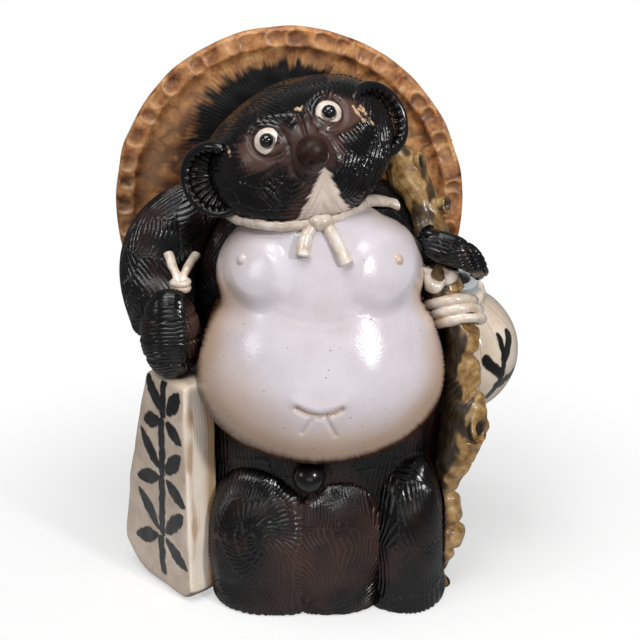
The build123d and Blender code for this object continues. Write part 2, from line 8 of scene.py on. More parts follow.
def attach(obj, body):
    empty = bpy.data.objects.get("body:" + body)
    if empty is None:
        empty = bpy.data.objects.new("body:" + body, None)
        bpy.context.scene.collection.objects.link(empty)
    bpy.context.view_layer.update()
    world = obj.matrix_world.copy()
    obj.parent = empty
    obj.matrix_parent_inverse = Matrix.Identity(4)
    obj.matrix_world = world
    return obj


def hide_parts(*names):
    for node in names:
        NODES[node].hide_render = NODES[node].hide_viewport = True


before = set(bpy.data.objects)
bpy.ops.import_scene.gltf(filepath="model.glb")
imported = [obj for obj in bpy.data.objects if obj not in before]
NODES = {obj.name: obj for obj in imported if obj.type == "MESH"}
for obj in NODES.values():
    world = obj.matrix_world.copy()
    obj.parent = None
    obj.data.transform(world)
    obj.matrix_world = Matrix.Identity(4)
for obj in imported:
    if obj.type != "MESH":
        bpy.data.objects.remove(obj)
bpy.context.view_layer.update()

# Lengths are in mm, the studio's in metres; right and left are the animal's own.
MM = 1000.0  # in a metre
PITCH = 3.2  # teeth of the comb
HAND_PITCH = 2.8  # finer comb of hand and fist
BARK_PITCH = 4.6
HEAD_CENTRE = np.array((-14.0, -28.0, 318.0))
EYE_ASIDE = 21.0
EYE_UP = 14.5
FACE_GIRTH = 40.0  # radius at which the face's strands keep their width
HAT_CENTRE = np.array((-22.5, 30.0, 264.0))
HAT_RADIUS = 126.5
HAT_BAND = 17.0
DENTS = 46
DENT_CIRCLE = 118.0
FRINGE_GIRTH = 75.0
CROWN_RING = 9.0
BELLY_CENTRE = np.array((0.0, -25.0, 185.0))
BELLY_AHEAD = np.array((0.0, -0.94, 0.34))
BELLY_UP = np.array((0.0, 0.34, 0.94))
BELLY_LEVEL = 170.0
BELLY_GIRTH = 95.0
SECTORS = 240  # of the belly's outline
BOOK_CORNER = np.array((-91.0, -83.0, 0.0))
BOOK_TURN = radians(49.0)
FLASK_CENTRE = np.array((97.0, 6.0, 162.0))
FLASK_SHOULDER = 40.0
CAMERA_PLACE = (0, -0.8927, 0.5110)
CAMERA_AIM = (0, 0, 0.18613)
CAMERA_LENS = 74.2


def turned(aside, up, cock):
    """Across, upward and forward directions of something that looks to the front."""
    aside, up, cock = radians(aside), radians(up), radians(cock)
    forward = np.array((sin(aside) * cos(up), -cos(aside) * cos(up), sin(up)))
    level = np.array((cos(aside), sin(aside), 0))
    across = level * cos(cock) + np.cross(forward, level) * sin(cock)
    return across, np.cross(forward, across), forward


HEAD_AXES = turned(6.7, 12.4, 23.0)
HAT_AXES = turned(0, 6.0, 0)
FLASK_AXES = turned(0, 70.0, 0)


# Clay work: every piece is a lump copied from the CAD form, then worked by its points


def alone(piece):
    """Selects this object and nothing else."""
    bpy.ops.object.select_all(action="DESELECT")
    piece.select_set(True)
    bpy.context.view_layer.objects.active = piece


def applied(piece, kind, **settings):
    """Puts a modifier on and applies it."""
    alone(piece)
    modifier = piece.modifiers.new(kind.title(), kind)
    for key, value in settings.items():
        setattr(modifier, key, value)
    bpy.ops.object.modifier_apply(modifier=modifier.name)


def clay(name, nodes, voxel, relax):
    """Lump of clay: CAD pieces copied and joined, given an even skin and relaxed."""
    copies = []
    bpy.ops.object.select_all(action="DESELECT")
    for source in nodes:
        copy = bpy.data.objects.new(name, NODES[source].data.copy())
        bpy.context.collection.objects.link(copy)
        copy.select_set(True)
        copies.append(copy)
    bpy.context.view_layer.objects.active = copies[0]
    if len(copies) > 1:
        bpy.ops.object.join()
    piece = bpy.context.view_layer.objects.active
    piece.name = name
    piece.data.name = name
    piece.data.materials.clear()
    alone(piece)
    bpy.ops.object.mode_set(mode="EDIT")
    bpy.ops.mesh.select_all(action="SELECT")
    bpy.ops.mesh.remove_doubles(threshold=0.00002)
    bpy.ops.mesh.normals_make_consistent(inside=False)
    bpy.ops.object.mode_set(mode="OBJECT")
    for layer in list(piece.data.uv_layers):
        piece.data.uv_layers.remove(layer)
    applied(piece, "REMESH", mode="VOXEL", voxel_size=voxel / MM)
    applied(piece, "SMOOTH", factor=0.5, iterations=relax)
    bpy.ops.object.shade_smooth()
    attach(piece, "root")
    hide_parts(*nodes)
    return piece


def points(piece):
    """Places in mm and normals of all points."""
    mesh = piece.data
    place = np.empty(len(mesh.vertices) * 3, np.float32)
    mesh.vertices.foreach_get("co", place)
    normal = np.empty_like(place)
    mesh.vertex_normals.foreach_get("vector", normal)
    return place.reshape(-1, 3).astype(float) * MM, normal.reshape(-1, 3).astype(float)


def press(piece, place):
    """Moves all points; none goes under the floor."""
    place[:, 2] = np.maximum(place[:, 2], 0)
    piece.data.vertices.foreach_set("co", (place / MM).ravel())
    piece.data.update()


def lifted(piece, place, normal, lift):
    """Moves all points along their normals."""
    press(piece, place + normal * lift[:, None])


def mark(piece, name, values):
    """Keeps one number a point for the glaze."""
    layer = piece.data.attributes.new(name, "FLOAT", "POINT")
    values = np.broadcast_to(values, len(piece.data.vertices))
    layer.data.foreach_set("value", values.astype(np.float32))


def shed(piece, away):
    """Takes off the points marked true, with their faces."""
    alone(piece)
    bpy.ops.object.mode_set(mode="EDIT")
    bpy.ops.mesh.select_mode(type="VERT")
    bpy.ops.mesh.select_all(action="DESELECT")
    bpy.ops.object.mode_set(mode="OBJECT")
    piece.data.vertices.foreach_set("select", away)
    bpy.ops.object.mode_set(mode="EDIT")
    bpy.ops.mesh.delete(type="VERT")
    bpy.ops.object.mode_set(mode="OBJECT")


def opened(piece, centre, least):
    """Takes off the inner wall of a hollow piece, which faces its centre."""
    place, normal = points(piece)
    shed(piece, (normal * (place - centre)).sum(axis=1) < least)


def parted(piece, side, least, rim):
    """Takes off the side of a hat's half that lies on the other half, up to the rim."""
    place, normal = points(piece)
    a, b = local(place, HAT_CENTRE, HAT_AXES)[:2]
    shed(piece, (side * (normal @ HAT_AXES[2]) > least) & (np.hypot(a, b) < HAT_RADIUS - rim))


def grown(piece, flags, steps):
    """Marks spread over the mesh by some edges."""
    edges = np.empty(len(piece.data.edges) * 2, np.int32)
    piece.data.edges.foreach_get("vertices", edges)
    edges = edges.reshape(-1, 2)
    for _ in range(steps):
        touched = flags[edges].any(axis=1)
        flags = flags.copy()
        flags[edges[touched].ravel()] = True
    return flags


def skin(nodes):
    """Surface of CAD pieces that can be asked for nearest points and ray hits."""
    vertices = []
    faces = []
    for source in nodes:
        mesh = NODES[source].data
        start = len(vertices)
        vertices.extend(vertex.co.copy() for vertex in mesh.vertices)
        faces.extend(tuple(start + index for index in face.vertices) for face in mesh.polygons)
    return BVHTree.FromPolygons(vertices, faces)


def distance(place, nodes, reach):
    """How far each point lies from the CAD pieces, in mm, up to the reach."""
    tree = skin(nodes)
    found = np.full(len(place), float(reach))
    for number, point in enumerate(place):
        hit = tree.find_nearest(Vector(point / MM), reach / MM)
        if hit[0] is not None:
            found[number] = hit[3] * MM
    return found


def wound(piece, host, foot, way, turns, rise, thick):
    """Adds to the piece a cord wound round a stem, laid on the stem's surface."""
    a_turn = 48  # rings in a turn
    sides = 16
    clear = 40  # from the stem's middle, outside it
    stem = 13  # radius where the stem isn't found
    tree = skin((host,))
    foot, way = np.array(foot, float), unit(np.array((way,), float))[0]
    front = unit(np.cross((1.0, 0, 0), way)[None])[0]
    side = np.cross(way, front)
    rings = []
    for step in range(int(turns * a_turn) + 1):
        angle = 2 * pi * step / a_turn
        aim = side * cos(angle) + front * sin(angle)
        spot = foot + way * rise * angle / (2 * pi)
        hit = tree.ray_cast(Vector((spot + aim * clear) / MM), Vector(-aim))[0]
        spot = np.array(hit) * MM if hit is not None else spot + aim * stem
        for t in np.linspace(0, 2 * pi, sides + 1)[:-1]:
            rings.append(spot + thick * (cos(t) * aim + 0.85 * sin(t) * way))
    corners = np.array(rings) / MM
    count = len(corners)
    faces = [tuple(range(sides)), tuple(range(count - 1, count - sides - 1, -1))]
    for ring in range(0, count - sides, sides):
        for number in range(sides):
            near, far = ring + number, ring + (number + 1) % sides
            faces.append((near, near + sides, far + sides, far))
    mesh = bpy.data.meshes.new("winding")
    mesh.from_pydata(corners.tolist(), [], faces)
    winding = bpy.data.objects.new("winding", mesh)
    bpy.context.collection.objects.link(winding)
    alone(winding)
    bpy.ops.object.mode_set(mode="EDIT")
    bpy.ops.mesh.select_all(action="SELECT")
    bpy.ops.mesh.normals_make_consistent(inside=False)
    bpy.ops.object.mode_set(mode="OBJECT")
    joined(piece)


def joined(piece):
    """Joins the object just made to the piece."""
    bpy.ops.object.shade_smooth()
    piece.select_set(True)
    bpy.context.view_layer.objects.active = piece
    bpy.ops.object.join()


def eased(value):
    """Soft step from 0 to 1."""
    value = np.clip(value, 0, 1)
    return value * value * (3 - 2 * value)


def bump(value):
    """Round hill, 1 at zero and gone near two."""
    return np.exp(-value * value)


def fuzz(place, size, seed):
    """Smooth noise from -1 to 1 on a lattice of this size."""
    cell = place / size
    low = np.floor(cell).astype(np.int64)
    share = cell - low
    share = share * share * (3 - 2 * share)
    total = np.zeros(len(place))
    # Each corner of a cell gets its own value, scattered by large primes
    for corner in range(8):
        step = np.array((corner & 1, corner >> 1 & 1, corner >> 2 & 1))
        key = (low + step) @ np.array((73856093, 19349663, 83492791)) + seed * 26544357
        key = ((key ^ (key >> 13)) * 1274126177) & 0x7FFFFFFF
        key = ((key ^ (key >> 11)) * 668265263) & 0x7FFFFFFF
        value = ((key >> 8) & 0xFFFF) / 32767.5 - 1
        total += np.prod(np.where(step, share, 1 - share), axis=1) * value
    return total


def strands(across, run, seed):
    """Noise drawn out along a run; both values count in strand widths and lengths."""
    return fuzz(np.stack([across, run, 0 * run], axis=1), 1.0, seed)


def settled(place, normal, spread, height):
    """Foot of a lump set down while soft: its wall spreads to the floor."""
    wall = eased((np.hypot(normal[:, 0], normal[:, 1]) - 0.2) / 0.4)
    wall *= eased((0.3 - normal[:, 1]) / 0.5)
    low = 1 - eased(place[:, 2] / height)
    return place + unit(normal * (1, 1, 0)) * (spread * wall * low)[:, None]


def unit(vectors):
    """Vectors of length one."""
    return vectors / np.maximum(np.linalg.norm(vectors, axis=1, keepdims=True), 1e-9)


def local(place, centre, axes):
    """Places in a frame's own directions."""
    return ((place - centre) @ np.array(axes).T).T


def line_gap(a, b, corners):
    """Distance from points (a, b) to a drawn line of corners."""
    best = np.full(len(a), 1e9)
    for (a0, b0), (a1, b1) in zip(corners[:-1], corners[1:]):
        run = np.array((a1 - a0, b1 - b0))
        share = np.clip(((a - a0) * run[0] + (b - b0) * run[1]) / (run @ run), 0, 1)
        best = np.minimum(best, np.hypot(a - a0 - share * run[0], b - b0 - share * run[1]))
    return best


def brushed(place, a, b, corners, width, ragged, grain, seed, soft):
    """Brush stroke along a drawn line: 1 inside, with a ragged edge."""
    return eased((width + ragged * fuzz(place, grain, seed) - line_gap(a, b, corners)) / soft)


def along(corners):
    """Strands that follow a limb's line."""
    corners = np.array(corners, float)
    middles = (corners[1:] + corners[:-1]) / 2
    runs = unit(corners[1:] - corners[:-1])

    def flow(place):
        gaps = np.linalg.norm(place[:, None] - middles[None], axis=2)
        return runs[gaps.argmin(axis=1)]

    return flow


def steady(x, y, z):
    """Strands that all run one way."""

    def flow(place):
        return np.tile(np.array((x, y, z), float), (len(place), 1))

    return flow


def combed(piece, across, border, depth, seed, pitch=PITCH, calm=1.0):
    """Comb lines, one a pitch of the across value; they die out at the border of a stroke."""
    place, normal = points(piece)
    across = across + 0.8 * fuzz(place, 9, seed + 7) + 0.3 * fuzz(place, 3, seed + 8)
    wave = 0.5 + 0.5 * np.cos(2 * pi * across / pitch)
    strength = eased(border / 1.6) * (0.75 + 0.25 * fuzz(place, 15, seed + 9)) * calm
    lifted(piece, place, normal, -depth * strength * wave**1.5 + 0.4 * fuzz(place, 26, seed + 10))
    mark(piece, "comb", across / pitch)
    mark(piece, "groove", wave * strength)
    mark(piece, "drawn", strength)


def comb(piece, flow, patch, depth, turn, seed, pitch=PITCH, calm=1.0):
    """Fur drawn into the clay with a comb, stroke by stroke; each has its own run and bend."""
    place, normal = points(piece)
    cells = np.floor(place / patch + 0.37).astype(int)
    first = np.unique(cells, axis=0, return_index=True)[1]
    seeds, lean = place[first], normal[first]
    random = np.random.default_rng(seed)
    way = flow(seeds)
    way = unit(way - (way * lean).sum(axis=1, keepdims=True) * lean)
    side = np.cross(lean, way)
    angle = (radians(turn) * random.uniform(-1, 1, len(seeds)))[:, None]
    way, side = way * np.cos(angle) + side * np.sin(angle), side * np.cos(angle) - way * np.sin(angle)
    tightest = 35.0  # radius of the most bent stroke
    bend = random.uniform(-1, 1, len(seeds)) / (2 * tightest)
    wander = np.stack([fuzz(place, 13, seed + axis) for axis in range(3)], axis=1)
    sought = place + 4.0 * wander
    own = np.empty(len(place), int)
    border = np.empty(len(place))
    batch = 20000  # points at a time
    for start in range(0, len(place), batch):
        chunk = slice(start, start + batch)
        squares = (sought[chunk] ** 2).sum(axis=1)[:, None] + (seeds**2).sum(axis=1)
        gaps = np.sqrt(np.maximum(squares - 2 * sought[chunk] @ seeds.T, 0))
        own[chunk] = gaps.argmin(axis=1)
        if len(seeds) > 1:
            two = np.partition(gaps, 1, axis=1)[:, :2]
        else:
            two = np.tile((0.0, 99.0), (len(gaps), 1))
        border[chunk] = two[:, 1] - two[:, 0]
    offset = place - seeds[own]
    run = (offset * way[own]).sum(axis=1)
    across = (offset * side[own]).sum(axis=1) + bend[own] * run * run
    combed(piece, across, border, depth, seed, pitch, calm)


# Glazes: colours as seen in the photograph, grain sizes in mm


def hexed(code):
    """Linear colour of a screen colour."""
    channels = [int(code[start : start + 2], 16) / 255 for start in (1, 3, 5)]
    return tuple(c / 12.92 if c <= 0.04045 else ((c + 0.055) / 1.055) ** 2.4 for c in channels) + (1.0,)


def node(tree, kind, *links, **settings):
    """Shader node with its settings; a link gives an input a value or another node's output."""
    new = tree.nodes.new("ShaderNode" + kind)
    for key, value in settings.items():
        setattr(new, key, value)
    for socket, value in links:
        if isinstance(value, bpy.types.NodeSocket):
            tree.links.new(value, new.inputs[socket])
        else:
            new.inputs[socket].default_value = value
    return new


def glaze(
    name,
    stops,
    grain,
    rough,
    coat=0.5,
    layers=(),
    ridge=0.0,
    fine=0.06,
    fine_size=1.5,
    pores=0.0,
    shine=0.5,
    matt="",
):
    """Fired glaze: mottled colour, painted layers, uneven gloss and a fine skin."""
    gloss_patch = 17
    pore_gap = 8
    material = bpy.data.materials.new(name)
    material.use_nodes = True
    tree = material.node_tree
    tree.nodes.clear()
    spot = ("Vector", node(tree, "TexCoord").outputs["Object"])
    mottle = node(tree, "TexNoise", spot, ("Scale", MM / grain), ("Detail", 5.0), ("Roughness", 0.6))
    shades = node(tree, "ValToRGB", ("Fac", mottle.outputs["Fac"]))
    elements = shades.color_ramp.elements
    while len(elements) < len(stops):
        elements.new(0.5)
    for element, (share, code) in zip(elements, stops):
        element.position = share
        element.color = hexed(code)
    colour = shades.outputs["Color"]
    # Sockets 0, 6 and 7 of a Mix are its share and its two colours
    for attribute, code, most in layers:
        painted = node(tree, "Attribute", attribute_name=attribute)
        amount = node(
            tree, "Math", (0, painted.outputs["Fac"]), (1, most), operation="MULTIPLY", use_clamp=True
        )
        mixed = node(tree, "Mix", (0, amount.outputs[0]), (6, colour), (7, hexed(code)), data_type="RGBA")
        colour = mixed.outputs[2]
    pooled = node(tree, "TexNoise", spot, ("Scale", MM / gloss_patch), ("Detail", 3.0))
    gloss = node(
        tree,
        "MapRange",
        ("Value", pooled.outputs["Fac"]),
        ("From Min", 0.3),
        ("From Max", 0.7),
        ("To Min", rough[0]),
        ("To Max", rough[1]),
    )
    if matt:
        dull = node(tree, "Attribute", attribute_name=matt).outputs["Fac"]
        gloss = node(tree, "Math", (0, dull), (1, 0.35), (2, gloss.outputs[0]), operation="MULTIPLY_ADD")
    # The grain of a real glaze is finer than this; it is drawn as coarse as it needs to show
    grainy = node(tree, "TexNoise", spot, ("Scale", MM / fine_size), ("Detail", 3.0)).outputs["Fac"]
    relief = node(tree, "Bump", ("Height", grainy), ("Distance", fine / MM)).outputs[0]
    if pores:
        holes = node(tree, "TexVoronoi", spot, ("Scale", MM / pore_gap))
        depth = ("Value", holes.outputs["Distance"])
        pit = node(tree, "MapRange", depth, ("From Min", 0.02), ("From Max", 0.06)).outputs[0]
        pitted = node(tree, "Bump", ("Height", pit), ("Distance", pores / MM), ("Normal", relief))
        relief = pitted.outputs[0]
        dotted = node(tree, "Mix", (0, pit), (6, hexed("#6d5f58")), (7, colour), data_type="RGBA")
        colour = dotted.outputs[2]
    if ridge:
        strand = node(tree, "Attribute", attribute_name="comb").outputs["Fac"]
        turns = node(tree, "Math", (0, strand), (1, 4 * pi), operation="MULTIPLY").outputs[0]
        hair = node(tree, "Math", (0, turns), operation="SINE").outputs[0]
        drawn = node(tree, "Attribute", attribute_name="drawn").outputs["Fac"]
        hair = node(tree, "Math", (0, hair), (1, drawn), operation="MULTIPLY").outputs[0]
        ridged = node(tree, "Bump", ("Height", hair), ("Distance", ridge / MM), ("Normal", relief))
        relief = ridged.outputs[0]
    shader = node(
        tree,
        "BsdfPrincipled",
        ("Base Color", colour),
        ("Roughness", gloss.outputs[0]),
        ("Normal", relief),
        ("Specular IOR Level", shine),
        ("Coat Weight", coat),
        ("Coat Roughness", 0.12),
    )
    node(tree, "OutputMaterial", ("Surface", shader.outputs[0]))
    return material


# Black glaze over combed clay: deep gloss on the ridges, breaking to dull rust where it is thin
fur = glaze(
    "black_fur_glaze",
    ((0.30, "#030304"), (0.55, "#08080a"), (0.75, "#121218")),
    14,
    rough=(0.10, 0.24),
    coat=0.12,
    layers=(
        ("warm", "#51342a", 0.95),
        ("groove", "#020202", 0.75),
        ("chip", "#cba886", 1.0),
        ("chin", "#fde9da", 1.0),
    ),
    ridge=0.10,
    shine=0.45,
    matt="warm",
)
# Milky glaze with pinholes, smooth and bright; amber where it thins at the fur, and painted shade at its
# edge
milk = glaze(
    "milky_belly_glaze",
    ((0.25, "#cdc2c5"), (0.5, "#dad2d8"), (0.75, "#e3dde3")),
    45,
    rough=(0.17, 0.27),
    coat=0.12,
    layers=(("tint", "#d0a36c", 0.62), ("halo_and_shade", "#51301a", 1.0), ("hair", "#0e0a08", 1.0)),
    fine=0.10,
    fine_size=1.6,
    pores=0.5,
)
# Ochre slip rubbed over red clay, nearly dry: dark veins, worn high spots, painted shade and painted
# light
straw = glaze(
    "ochre_hat_slip",
    ((0.33, "#4f2611"), (0.44, "#975a2f"), (0.55, "#c2844c"), (0.69, "#e0ac75")),
    10,
    rough=(0.34, 0.62),
    coat=0.08,
    layers=(("stain_and_shade", "#3f1c10", 0.9), ("wear_and_light", "#d6a473", 0.7), ("fringe", "#0a0809", 1.0)),
    fine=0.25,
    fine_size=2.2,
)
# Cream glaze on the cords, thick and soft, with painted shade where they meet the fur and the staff
cream = glaze(
    "cream_cord_glaze",
    ((0.3, "#c9b39d"), (0.5, "#e6d6c6"), (0.7, "#f5ebe3")),
    9,
    rough=(0.14, 0.28),
    layers=(("soot_and_shade", "#2a1d17", 1.0), ("blue", "#9fb0bb", 0.6)),
)
# Beige glaze of the book's cover, cream page edges with ochre stains; painted shade on faces that look
# down
paper = glaze(
    "beige_book_glaze",
    ((0.3, "#c2ad99"), (0.5, "#dcc8b5"), (0.7, "#ecdccd")),
    22,
    rough=(0.22, 0.40),
    coat=0.35,
    layers=(
        ("leaf", "#fff0df", 1.0),
        ("ochre", "#ad8042", 0.8),
        ("under", "#7b6c5b", 1.0),
        ("ink", "#080607", 1.0),
        ("soot_and_shade", "#3a2c22", 0.8),
    ),
)
# Warm cream flask glaze with brown facet lines and bluish drips
porcelain = glaze(
    "cream_flask_glaze",
    ((0.3, "#d3bea6"), (0.5, "#ecd9c4"), (0.7, "#f8ebdc")),
    30,
    rough=(0.12, 0.24),
    layers=(("soot_and_shade", "#6a5238", 0.8), ("ink", "#0c0907", 1.0), ("blue", "#a9bcc4", 0.75)),
    pores=0.4,
)
# Tan slip over a dark knotty stick, half dull
bark = glaze(
    "tan_staff_slip",
    ((0.25, "#5e3e1f"), (0.42, "#96703f"), (0.58, "#bf9a63"), (0.8, "#dcbb87")),
    9,
    rough=(0.28, 0.5),
    coat=0.25,
    layers=(("groove", "#5a3c1e", 0.35), ("soot_and_shade", "#120b07", 0.97)),
    ridge=0.05,
    fine=0.2,
    fine_size=2.0,
)
# Plain dark glaze of knob and ears, glossy
jet = glaze(
    "jet_glaze",
    ((0.35, "#040405"), (0.6, "#0b0a0c"), (0.8, "#161113")),
    9,
    rough=(0.16, 0.30),
    coat=0.3,
    layers=(("warm", "#2c1e19", 0.9), ("groove", "#020202", 0.7)),
    shine=0.4,
)
# Thin brown glaze of the nose, nearly matt
snout = glaze(
    "brown_nose_glaze",
    ((0.35, "#170c09"), (0.6, "#2a1711"), (0.8, "#3d241b")),
    8,
    rough=(0.38, 0.52),
    coat=0.0,
    layers=(("warm", "#3b231b", 0.6),),
    shine=0.25,
)
# Bare fired clay under the foot, dry and rough
raw = glaze(
    "bare_red_clay",
    ((0.3, "#7c5642"), (0.6, "#94694f")),
    8,
    rough=(0.75, 0.9),
    coat=0.0,
    fine=0.2,
)
# Cream ring of the eye, dark at its edges
white = glaze(
    "cream_eye_glaze",
    ((0.3, "#d6c4b4"), (0.6, "#eee0d4")),
    5,
    rough=(0.15, 0.3),
    layers=(("soot_and_shade", "#2a1a12", 1.0),),
)
# Wet black of the pupil
black = glaze(
    "black_pupil_glaze",
    ((0.4, "#050505"), (0.6, "#0e0c0c")),
    4,
    rough=(0.05, 0.08),
    coat=0.8,
    fine=0.0,
)


def glazed(piece, material):
    """Gives the piece its glaze, as its only material."""
    piece.data.materials.clear()
    piece.data.materials.append(material)


def furred(piece, rust):
    """Black glaze with rust where it is thin."""
    mark(piece, "warm", np.clip(rust + 0.45 * fuzz(points(piece)[0], 16, 3), 0, 1))
    glazed(piece, fur)


# Body: the two pressed halves, seamless, combed downward; only what shows is kept
body = clay("fur_body", ("body_front", "body_back"), 1.28, 3)
place, normal = points(body)
inner = (normal[:, :2] * place[:, :2]).sum(axis=1) < -2
inner |= (normal[:, 2] < -0.5) & (place[:, 2] > 240)
shed(body, inner)
hosts = ("belly", "pouch", "left_leg", "head", "hat_underside", "hat_crown", "right_arm", "flask", "tail")
bare = distance(points(body)[0], hosts, 0.9) > 0.8
shed(body, ~grown(body, bare, 4))


def body_flow(place):
    """Down and to the back, apart from the middle."""
    down = np.full(len(place), -1.0)
    return np.stack([-0.25 * np.sign(place[:, 0]), -0.35 * down, down], axis=1)


comb(body, body_flow, patch=44, depth=0.8, turn=12, seed=11)
furred(body, 0.05)

slab = clay("foot_slab", ("base_slab",), 1.6, 1)
glazed(slab, raw)

# Belly: breasts, fold, navel, amber edge deepened by painted shade, and the hair that runs in from the
# sides
belly = clay("milky_belly", ("belly",), 0.95, 5)
opened(belly, BELLY_CENTRE, 0)
place, normal = points(belly)
x, z = place[:, 0], place[:, 2]
front = normal[:, 1] < 0.2
lift = np.zeros(len(place))
for side in (-1, 1):
    lift += 3.2 * eased((27 + 1.5 * side - np.hypot(x - side * 42, z - 250)) / 13) * front
navel = line_gap(x, z, ((-15, 171), (-8, 167.4), (0, 166), (8, 167), (14, 170.5)))
lift -= 2.6 * bump(navel / 1.6) * front
for corners in (((-5.5, 164), (-11.5, 154)), ((4, 164), (10, 152))):
    lift -= 1.6 * bump(line_gap(x, z, corners) / 1.4) * front
lift += 1.2 * bump(line_gap(x, z, ((-15, 175), (0, 170), (14, 174))) / 4) * front
fold = ((-80, 218), (-60, 226), (-30, 229), (0, 224), (30, 230), (60, 228), (80, 222))
lift -= 1.7 * bump(line_gap(x, z, fold) / 10) * front
lift -= 2.6 * bump(np.hypot((np.abs(x) - 82) / 24, (z - 222) / 8))
for corners in (((-26, 230), (-4, 226.5), (26, 228.5)), ((-22, 223), (4, 220.5), (30, 223.5))):
    lift += 0.3 * bump(line_gap(x, z + 1.5 * fuzz(place, 14, 8), corners) / 2.8) * front
lift += 0.5 * fuzz(place, 40, 5) + 0.25 * fuzz(place, 16, 6)
lifted(belly, place, normal, lift)
gap = distance(place, ("body_front", "right_arm", "right_fist", "pouch", "left_leg"), 26)
rise = place @ BELLY_UP - BELLY_LEVEL
angle = np.arctan2(rise, x)
reach = np.hypot(x, rise)
sector = ((angle + pi) * SECTORS / (2 * pi)).astype(int) % SECTORS
rim = np.zeros(SECTORS)
np.maximum.at(rim, sector, reach)
rim = (np.roll(rim, 1) + rim + np.roll(rim, -1)) / 3
inset = np.where(normal @ BELLY_AHEAD > 0, rim[sector] - reach, 0)
streak = strands(angle * BELLY_GIRTH / 2.0, inset / 9, 4)
streak += 0.6 * strands(angle * BELLY_GIRTH / 0.9, inset / 7, 9)
# Painted shade: the amber edge is made wider at the left and the bottom, and the bottom is tinted darker
low = eased(-np.sin(angle) * 1.3 - 0.1)
wide = 3.5 + 4.5 * eased(-np.cos(angle)) + 4.0 * low
shown = 1 - eased((z - 232) / 14)
tint = eased((4.6 * wide + 6 * fuzz(place, 22, 12) - inset) / (4.2 * wide)) * (0.4 + 0.6 * shown)
tint += 0.22 * eased((62 + 12 * fuzz(place, 26, 13) - inset) / 60) * low
tint += 0.7 * bump(navel / 2.0) * front
halo_and_shade = eased((wide + 0.8 * streak - inset) / wide) + 0.30 * low * eased((24 - inset) / 20)
# Painted shade, dark brown, where the belly meets the fur, with the amber of the thinning glaze
halo_and_shade = np.maximum(np.clip(halo_and_shade, 0, 1) * shown, eased((8 + 4 * streak - gap) / 7))
hair = eased((0.4 + 2.4 * streak - inset) / 1.2) * shown
hair = np.maximum(hair, eased((2 + 3.5 * streak - gap) / 1.2))
mark(belly, "tint", np.clip(tint, 0, 1))
mark(belly, "halo_and_shade", halo_and_shade)
mark(belly, "hair", hair)
glazed(belly, milk)

buttons = clay("breast_buttons", ("nipples",), 0.4, 3)
place = points(buttons)[0]
mark(buttons, "tint", 0.25 + 0.6 * (place[:, 0] > 0))
glazed(buttons, milk)

# Head: narrower muzzle and lower top, then brows, eye hollows, cheeks, folds and pricked whisker roots
head = clay("fur_head", ("head",), 0.84, 4)
opened(head, HEAD_CENTRE, -1)
place, normal = points(head)
a, b, f = local(place, HEAD_CENTRE, HEAD_AXES)
face = eased((f - 20) / 12)
taper = 0.42 * eased((f - 58) / 14)
place -= np.outer(taper * a, HEAD_AXES[0]) + np.outer(taper * (b + 4), HEAD_AXES[1])
a, b = a * (1 - taper), b - taper * (b + 4)
place -= np.outer(5.5 * eased((b - 24) / 26), HEAD_AXES[1])
lift = np.zeros(len(place))
for side in (-1, 1):
    lift += 2.2 * bump(np.hypot(a - side * 22, b - 27) / 9)
    lift -= 1.6 * bump((np.hypot(a - side * EYE_ASIDE, b - EYE_UP) - 10.5) / 1.8)
    lift += 2.5 * bump(np.hypot(a - side * 12, b + 16) / 8)
    fold = line_gap(a, b, ((side * 11, 8), (side * 14.5, 0), (side * 15, -9), (side * 10, -18)))
    lift -= 1.8 * bump(fold / 1.3)
lift -= 1.8 * bump(line_gap(a, b, ((4.3, 23), (3, 16), (1.5, 9))) / 1.2)
for centre_a, centre_b in ((-28.8, -11.7), (25.7, -26.5)):
    lift -= 1.5 * bump(np.hypot(a - centre_a, b - centre_b) / 0.9)
    for number in range(6):
        turn = 2 * pi * number / 6
        pore = np.hypot(a - centre_a - 4.2 * cos(turn), b - centre_b - 4.2 * sin(turn))
        lift -= 1.5 * bump(pore / 0.9)
lifted(head, place, normal, lift * face)

# Its colours: pale brushed chin, brown mask round eyes and muzzle, chips in the glaze
x, y, z = place.T
under = face * (y < -55)
drop = np.clip(326 - z, 0, 60)
feather = 1.3 * strands((z + 0.7 * np.abs(x - 2)) / 1.2, x / 8, 3)
chin_left = x - (2 - 0.42 * drop) + 1.3 * feather
chin_right = (3 + 0.46 * drop) - x + 1.3 * feather
chin = eased(np.minimum(chin_left, chin_right) / 2.2) * eased((327 - z) / 2) * under
streaked = strands((x - 0.45 * drop * np.sign(x - 2)) / 1.5, z / 15, 38)
chin *= 1 - 0.16 * eased(0.35 + 0.9 * streaked) - 0.16 * eased((drop - 26 + 4 * streaked) / 16)
rusty = bump((chin_left + 3.0) / 4.0) * eased((322 - z) / 12) * under
soft = bump(np.hypot(a / 1.2, b - 2) / 24) * face
for side in (-1, 1):
    soft = np.maximum(soft, bump(np.hypot(a - side * 29, b - 10) / 17) * face)
away = np.hypot(a, b - 2)
ray = np.arctan2(b - 2, a)
spike = strands(ray * FACE_GIRTH / 1.9, away / 16, 36)
spike += 0.7 * strands(ray * FACE_GIRTH / 1.0, away / 11, 37)
mask = eased((soft - 0.38 + 0.17 * spike) / 0.42)
mask *= 0.62 + 0.38 * eased((np.hypot(a * 1.1, b) - 15) / 9)
brow = line_gap(a, b, ((-8, 33), (-5, 25), (-3, 17)))
mask *= 1 - eased((3.4 + 1.5 * spike - brow) / 1.2)


def head_flow(place):
    """Away from the muzzle, swept round the cheeks."""
    a, b = local(place, HEAD_CENTRE, HEAD_AXES)[:2]
    swing = np.where(b < 8, radians(75), radians(12)) * np.sign(a + 0.01) * (np.abs(a) > 12)
    heading = np.arctan2(b + 12, a) + swing
    return np.outer(np.cos(heading), HEAD_AXES[0]) + np.outer(np.sin(heading), HEAD_AXES[1])


